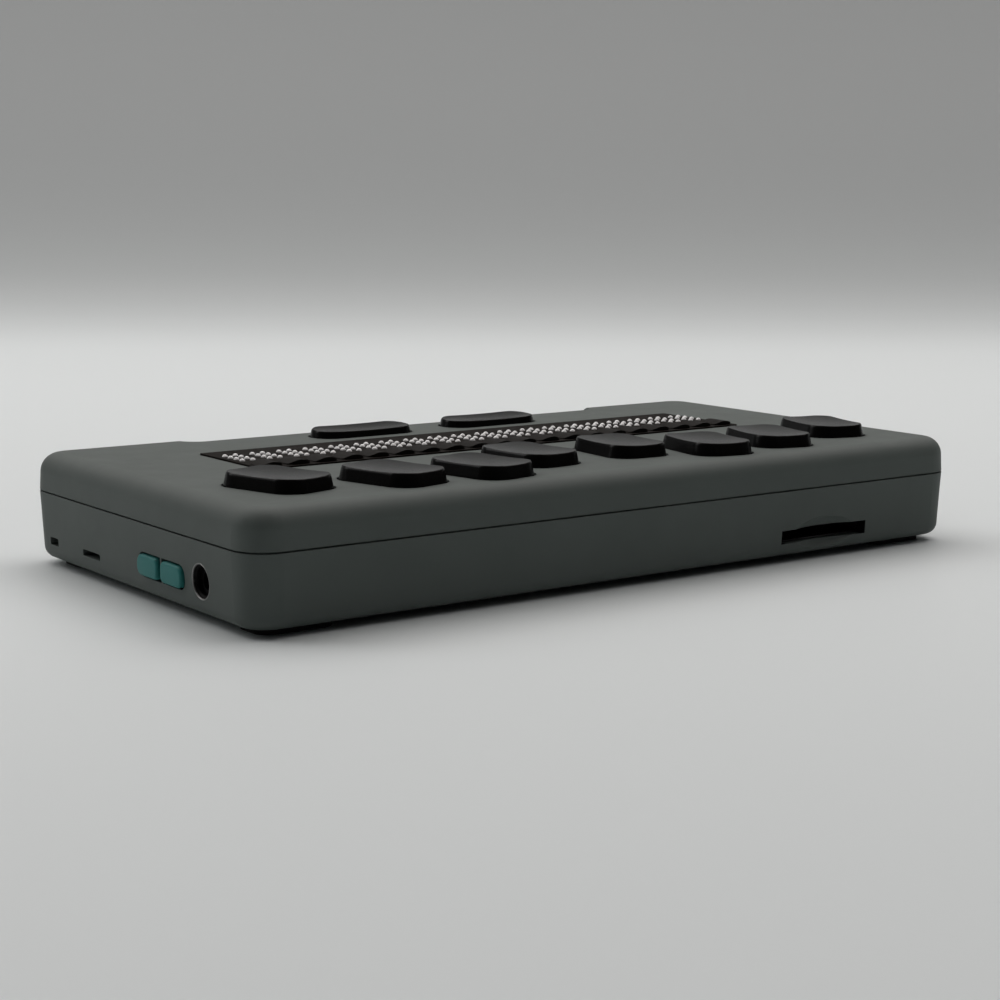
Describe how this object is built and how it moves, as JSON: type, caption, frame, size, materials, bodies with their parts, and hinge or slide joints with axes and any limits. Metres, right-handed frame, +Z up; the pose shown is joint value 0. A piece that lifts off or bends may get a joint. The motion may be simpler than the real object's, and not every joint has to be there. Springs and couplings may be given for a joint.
{
  "type": "refreshable braille display",
  "caption": "Flat braille display with a line of raised pins, dished braille keys, space bars, routing and thumb keys, and edge ports in a moulded housing.",
  "frame": {"origin": "middle of the footprint, on the table under the rubber feet", "axes": "+X to the user's right along the braille line, +Y away from the user to the card slot, +Z up"},
  "size_m": [0.1832, 0.0956, 0.0263],
  "materials": {
    "housing": "fine satin texture",
    "keys": "satin",
    "cells": "satin",
    "pins": "smooth",
    "teal_buttons": "satin",
    "black_plastic": "moulded",
    "board": "lacquered",
    "battery": "wrapped foil",
    "rubber": "matte",
    "metal": "plated"
  },
  "bodies": {
    "housing": {"bottom_case": "housing", "top_cover": "housing", "battery_door": "housing", "battery": "battery", "screws": "metal", "rubber_feet": "rubber", "main_board": "board", "keyboard_board": "board", "cell_board": "board", "braille_cells": "cells", "audio_jack": "black_plastic", "usb_ports": "metal", "sd_card_socket": "metal", "speaker": "black_plastic"},
    "dot_1_key": {"dot_1_key": "keys"},
    "dot_2_key": {"dot_2_key": "keys"},
    "dot_3_key": {"dot_3_key": "keys"},
    "dot_4_key": {"dot_4_key": "keys"},
    "dot_5_key": {"dot_5_key": "keys"},
    "dot_6_key": {"dot_6_key": "keys"},
    "dot_7_key": {"dot_7_key": "keys"},
    "dot_8_key": {"dot_8_key": "keys"},
    "left_space_bar": {"left_space_bar": "keys"},
    "right_space_bar": {"right_space_bar": "keys"},
    "dot_1_pins": {"dot_1_pins": "pins"},
    "dot_2_pins": {"dot_2_pins": "pins"},
    "dot_3_pins": {"dot_3_pins": "pins"},
    "dot_4_pins": {"dot_4_pins": "pins"},
    "dot_5_pins": {"dot_5_pins": "pins"},
    "dot_6_pins": {"dot_6_pins": "pins"},
    "dot_7_pins": {"dot_7_pins": "pins"},
    "dot_8_pins": {"dot_8_pins": "pins"},
    "routing_button_01": {"routing_button_01": "cells"},
    "routing_button_02": {"routing_button_02": "cells"},
    "routing_button_03": {"routing_button_03": "cells"},
    "routing_button_04": {"routing_button_04": "cells"},
    "routing_button_05": {"routing_button_05": "cells"},
    "routing_button_06": {"routing_button_06": "cells"},
    "routing_button_07": {"routing_button_07": "cells"},
    "routing_button_08": {"routing_button_08": "cells"},
    "routing_button_09": {"routing_button_09": "cells"},
    "routing_button_10": {"routing_button_10": "cells"},
    "routing_button_11": {"routing_button_11": "cells"},
    "routing_button_12": {"routing_button_12": "cells"},
    "routing_button_13": {"routing_button_13": "cells"},
    "routing_button_14": {"routing_button_14": "cells"},
    "routing_button_15": {"routing_button_15": "cells"},
    "routing_button_16": {"routing_button_16": "cells"},
    "routing_button_17": {"routing_button_17": "cells"},
    "routing_button_18": {"routing_button_18": "cells"},
    "routing_button_19": {"routing_button_19": "cells"},
    "routing_button_20": {"routing_button_20": "cells"},
    "thumb_key_previous": {"thumb_key_previous": "keys"},
    "thumb_key_left": {"thumb_key_left": "keys"},
    "thumb_key_home": {"thumb_key_home": "keys"},
    "thumb_key_right": {"thumb_key_right": "keys"},
    "thumb_key_next": {"thumb_key_next": "keys"},
    "volume_up_button": {"volume_up_button": "teal_buttons"},
    "volume_down_button": {"volume_down_button": "teal_buttons"},
    "power_button": {"power_button": "keys"}
  },
  "joints": [
    {"name": "dot_1_key_press", "type": "slide", "parent": "housing", "child": "dot_1_key", "axis": [0, 0, -1], "range_m": [0, 0.0015], "stiffness_N_per_m": 300, "springref_m": -0.001},
    {"name": "dot_2_key_press", "type": "slide", "parent": "housing", "child": "dot_2_key", "axis": [0, 0, -1], "range_m": [0, 0.0015], "stiffness_N_per_m": 300, "springref_m": -0.001},
    {"name": "dot_3_key_press", "type": "slide", "parent": "housing", "child": "dot_3_key", "axis": [0, 0, -1], "range_m": [0, 0.0015], "stiffness_N_per_m": 300, "springref_m": -0.001},
    {"name": "dot_4_key_press", "type": "slide", "parent": "housing", "child": "dot_4_key", "axis": [0, 0, -1], "range_m": [0, 0.0015], "stiffness_N_per_m": 300, "springref_m": -0.001},
    {"name": "dot_5_key_press", "type": "slide", "parent": "housing", "child": "dot_5_key", "axis": [0, 0, -1], "range_m": [0, 0.0015], "stiffness_N_per_m": 300, "springref_m": -0.001},
    {"name": "dot_6_key_press", "type": "slide", "parent": "housing", "child": "dot_6_key", "axis": [0, 0, -1], "range_m": [0, 0.0015], "stiffness_N_per_m": 300, "springref_m": -0.001},
    {"name": "dot_7_key_press", "type": "slide", "parent": "housing", "child": "dot_7_key", "axis": [0, 0, -1], "range_m": [0, 0.0015], "stiffness_N_per_m": 300, "springref_m": -0.001},
    {"name": "dot_8_key_press", "type": "slide", "parent": "housing", "child": "dot_8_key", "axis": [0, 0, -1], "range_m": [0, 0.0015], "stiffness_N_per_m": 300, "springref_m": -0.001},
    {"name": "left_space_bar_press", "type": "slide", "parent": "housing", "child": "left_space_bar", "axis": [0, 0, -1], "range_m": [0, 0.0012], "stiffness_N_per_m": 400, "springref_m": -0.001},
    {"name": "right_space_bar_press", "type": "slide", "parent": "housing", "child": "right_space_bar", "axis": [0, 0, -1], "range_m": [0, 0.0012], "stiffness_N_per_m": 400, "springref_m": -0.001},
    {"name": "dot_1_pins_press", "type": "slide", "parent": "housing", "child": "dot_1_pins", "axis": [0, 0, -1], "range_m": [0, 0.0006], "stiffness_N_per_m": 200, "springref_m": -0.001},
    {"name": "dot_2_pins_press", "type": "slide", "parent": "housing", "child": "dot_2_pins", "axis": [0, 0, -1], "range_m": [0, 0.0006], "stiffness_N_per_m": 200, "springref_m": -0.001},
    {"name": "dot_3_pins_press", "type": "slide", "parent": "housing", "child": "dot_3_pins", "axis": [0, 0, -1], "range_m": [0, 0.0006], "stiffness_N_per_m": 200, "springref_m": -0.001},
    {"name": "dot_4_pins_press", "type": "slide", "parent": "housing", "child": "dot_4_pins", "axis": [0, 0, -1], "range_m": [0, 0.0006], "stiffness_N_per_m": 200, "springref_m": -0.001},
    {"name": "dot_5_pins_press", "type": "slide", "parent": "housing", "child": "dot_5_pins", "axis": [0, 0, -1], "range_m": [0, 0.0006], "stiffness_N_per_m": 200, "springref_m": -0.001},
    {"name": "dot_6_pins_press", "type": "slide", "parent": "housing", "child": "dot_6_pins", "axis": [0, 0, -1], "range_m": [0, 0.0006], "stiffness_N_per_m": 200, "springref_m": -0.001},
    {"name": "dot_7_pins_press", "type": "slide", "parent": "housing", "child": "dot_7_pins", "axis": [0, 0, -1], "range_m": [0, 0.0006], "stiffness_N_per_m": 200, "springref_m": -0.001},
    {"name": "dot_8_pins_press", "type": "slide", "parent": "housing", "child": "dot_8_pins", "axis": [0, 0, -1], "range_m": [0, 0.0006], "stiffness_N_per_m": 200, "springref_m": -0.001},
    {"name": "routing_button_01_press", "type": "slide", "parent": "housing", "child": "routing_button_01", "axis": [0, 0, -1], "range_m": [0, 0.0008], "stiffness_N_per_m": 300, "springref_m": -0.001},
    {"name": "routing_button_02_press", "type": "slide", "parent": "housing", "child": "routing_button_02", "axis": [0, 0, -1], "range_m": [0, 0.0008], "stiffness_N_per_m": 300, "springref_m": -0.001},
    {"name": "routing_button_03_press", "type": "slide", "parent": "housing", "child": "routing_button_03", "axis": [0, 0, -1], "range_m": [0, 0.0008], "stiffness_N_per_m": 300, "springref_m": -0.001},
    {"name": "routing_button_04_press", "type": "slide", "parent": "housing", "child": "routing_button_04", "axis": [0, 0, -1], "range_m": [0, 0.0008], "stiffness_N_per_m": 300, "springref_m": -0.001},
    {"name": "routing_button_05_press", "type": "slide", "parent": "housing", "child": "routing_button_05", "axis": [0, 0, -1], "range_m": [0, 0.0008], "stiffness_N_per_m": 300, "springref_m": -0.001},
    {"name": "routing_button_06_press", "type": "slide", "parent": "housing", "child": "routing_button_06", "axis": [0, 0, -1], "range_m": [0, 0.0008], "stiffness_N_per_m": 300, "springref_m": -0.001},
    {"name": "routing_button_07_press", "type": "slide", "parent": "housing", "child": "routing_button_07", "axis": [0, 0, -1], "range_m": [0, 0.0008], "stiffness_N_per_m": 300, "springref_m": -0.001},
    {"name": "routing_button_08_press", "type": "slide", "parent": "housing", "child": "routing_button_08", "axis": [0, 0, -1], "range_m": [0, 0.0008], "stiffness_N_per_m": 300, "springref_m": -0.001},
    {"name": "routing_button_09_press", "type": "slide", "parent": "housing", "child": "routing_button_09", "axis": [0, 0, -1], "range_m": [0, 0.0008], "stiffness_N_per_m": 300, "springref_m": -0.001},
    {"name": "routing_button_10_press", "type": "slide", "parent": "housing", "child": "routing_button_10", "axis": [0, 0, -1], "range_m": [0, 0.0008], "stiffness_N_per_m": 300, "springref_m": -0.001},
    {"name": "routing_button_11_press", "type": "slide", "parent": "housing", "child": "routing_button_11", "axis": [0, 0, -1], "range_m": [0, 0.0008], "stiffness_N_per_m": 300, "springref_m": -0.001},
    {"name": "routing_button_12_press", "type": "slide", "parent": "housing", "child": "routing_button_12", "axis": [0, 0, -1], "range_m": [0, 0.0008], "stiffness_N_per_m": 300, "springref_m": -0.001},
    {"name": "routing_button_13_press", "type": "slide", "parent": "housing", "child": "routing_button_13", "axis": [0, 0, -1], "range_m": [0, 0.0008], "stiffness_N_per_m": 300, "springref_m": -0.001},
    {"name": "routing_button_14_press", "type": "slide", "parent": "housing", "child": "routing_button_14", "axis": [0, 0, -1], "range_m": [0, 0.0008], "stiffness_N_per_m": 300, "springref_m": -0.001},
    {"name": "routing_button_15_press", "type": "slide", "parent": "housing", "child": "routing_button_15", "axis": [0, 0, -1], "range_m": [0, 0.0008], "stiffness_N_per_m": 300, "springref_m": -0.001},
    {"name": "routing_button_16_press", "type": "slide", "parent": "housing", "child": "routing_button_16", "axis": [0, 0, -1], "range_m": [0, 0.0008], "stiffness_N_per_m": 300, "springref_m": -0.001},
    {"name": "routing_button_17_press", "type": "slide", "parent": "housing", "child": "routing_button_17", "axis": [0, 0, -1], "range_m": [0, 0.0008], "stiffness_N_per_m": 300, "springref_m": -0.001},
    {"name": "routing_button_18_press", "type": "slide", "parent": "housing", "child": "routing_button_18", "axis": [0, 0, -1], "range_m": [0, 0.0008], "stiffness_N_per_m": 300, "springref_m": -0.001},
    {"name": "routing_button_19_press", "type": "slide", "parent": "housing", "child": "routing_button_19", "axis": [0, 0, -1], "range_m": [0, 0.0008], "stiffness_N_per_m": 300, "springref_m": -0.001},
    {"name": "routing_button_20_press", "type": "slide", "parent": "housing", "child": "routing_button_20", "axis": [0, 0, -1], "range_m": [0, 0.0008], "stiffness_N_per_m": 300, "springref_m": -0.001},
    {"name": "thumb_key_previous_press", "type": "slide", "parent": "housing", "child": "thumb_key_previous", "axis": [0, 1, 0], "range_m": [0, 0.0008], "stiffness_N_per_m": 400, "springref_m": -0.001},
    {"name": "thumb_key_left_press", "type": "slide", "parent": "housing", "child": "thumb_key_left", "axis": [0, 1, 0], "range_m": [0, 0.0008], "stiffness_N_per_m": 400, "springref_m": -0.001},
    {"name": "thumb_key_home_press", "type": "slide", "parent": "housing", "child": "thumb_key_home", "axis": [0, 1, 0], "range_m": [0, 0.0008], "stiffness_N_per_m": 400, "springref_m": -0.001},
    {"name": "thumb_key_right_press", "type": "slide", "parent": "housing", "child": "thumb_key_right", "axis": [0, 1, 0], "range_m": [0, 0.0008], "stiffness_N_per_m": 400, "springref_m": -0.001},
    {"name": "thumb_key_next_press", "type": "slide", "parent": "housing", "child": "thumb_key_next", "axis": [0, 1, 0], "range_m": [0, 0.0008], "stiffness_N_per_m": 400, "springref_m": -0.001},
    {"name": "volume_up_button_press", "type": "slide", "parent": "housing", "child": "volume_up_button", "axis": [-1, 0, 0], "range_m": [0, 0.0008], "stiffness_N_per_m": 400, "springref_m": -0.001},
    {"name": "volume_down_button_press", "type": "slide", "parent": "housing", "child": "volume_down_button", "axis": [-1, 0, 0], "range_m": [0, 0.0008], "stiffness_N_per_m": 400, "springref_m": -0.001},
    {"name": "power_button_press", "type": "slide", "parent": "housing", "child": "power_button", "axis": [1, 0, 0], "range_m": [0, 0.0008], "stiffness_N_per_m": 400, "springref_m": -0.001}
  ]
}
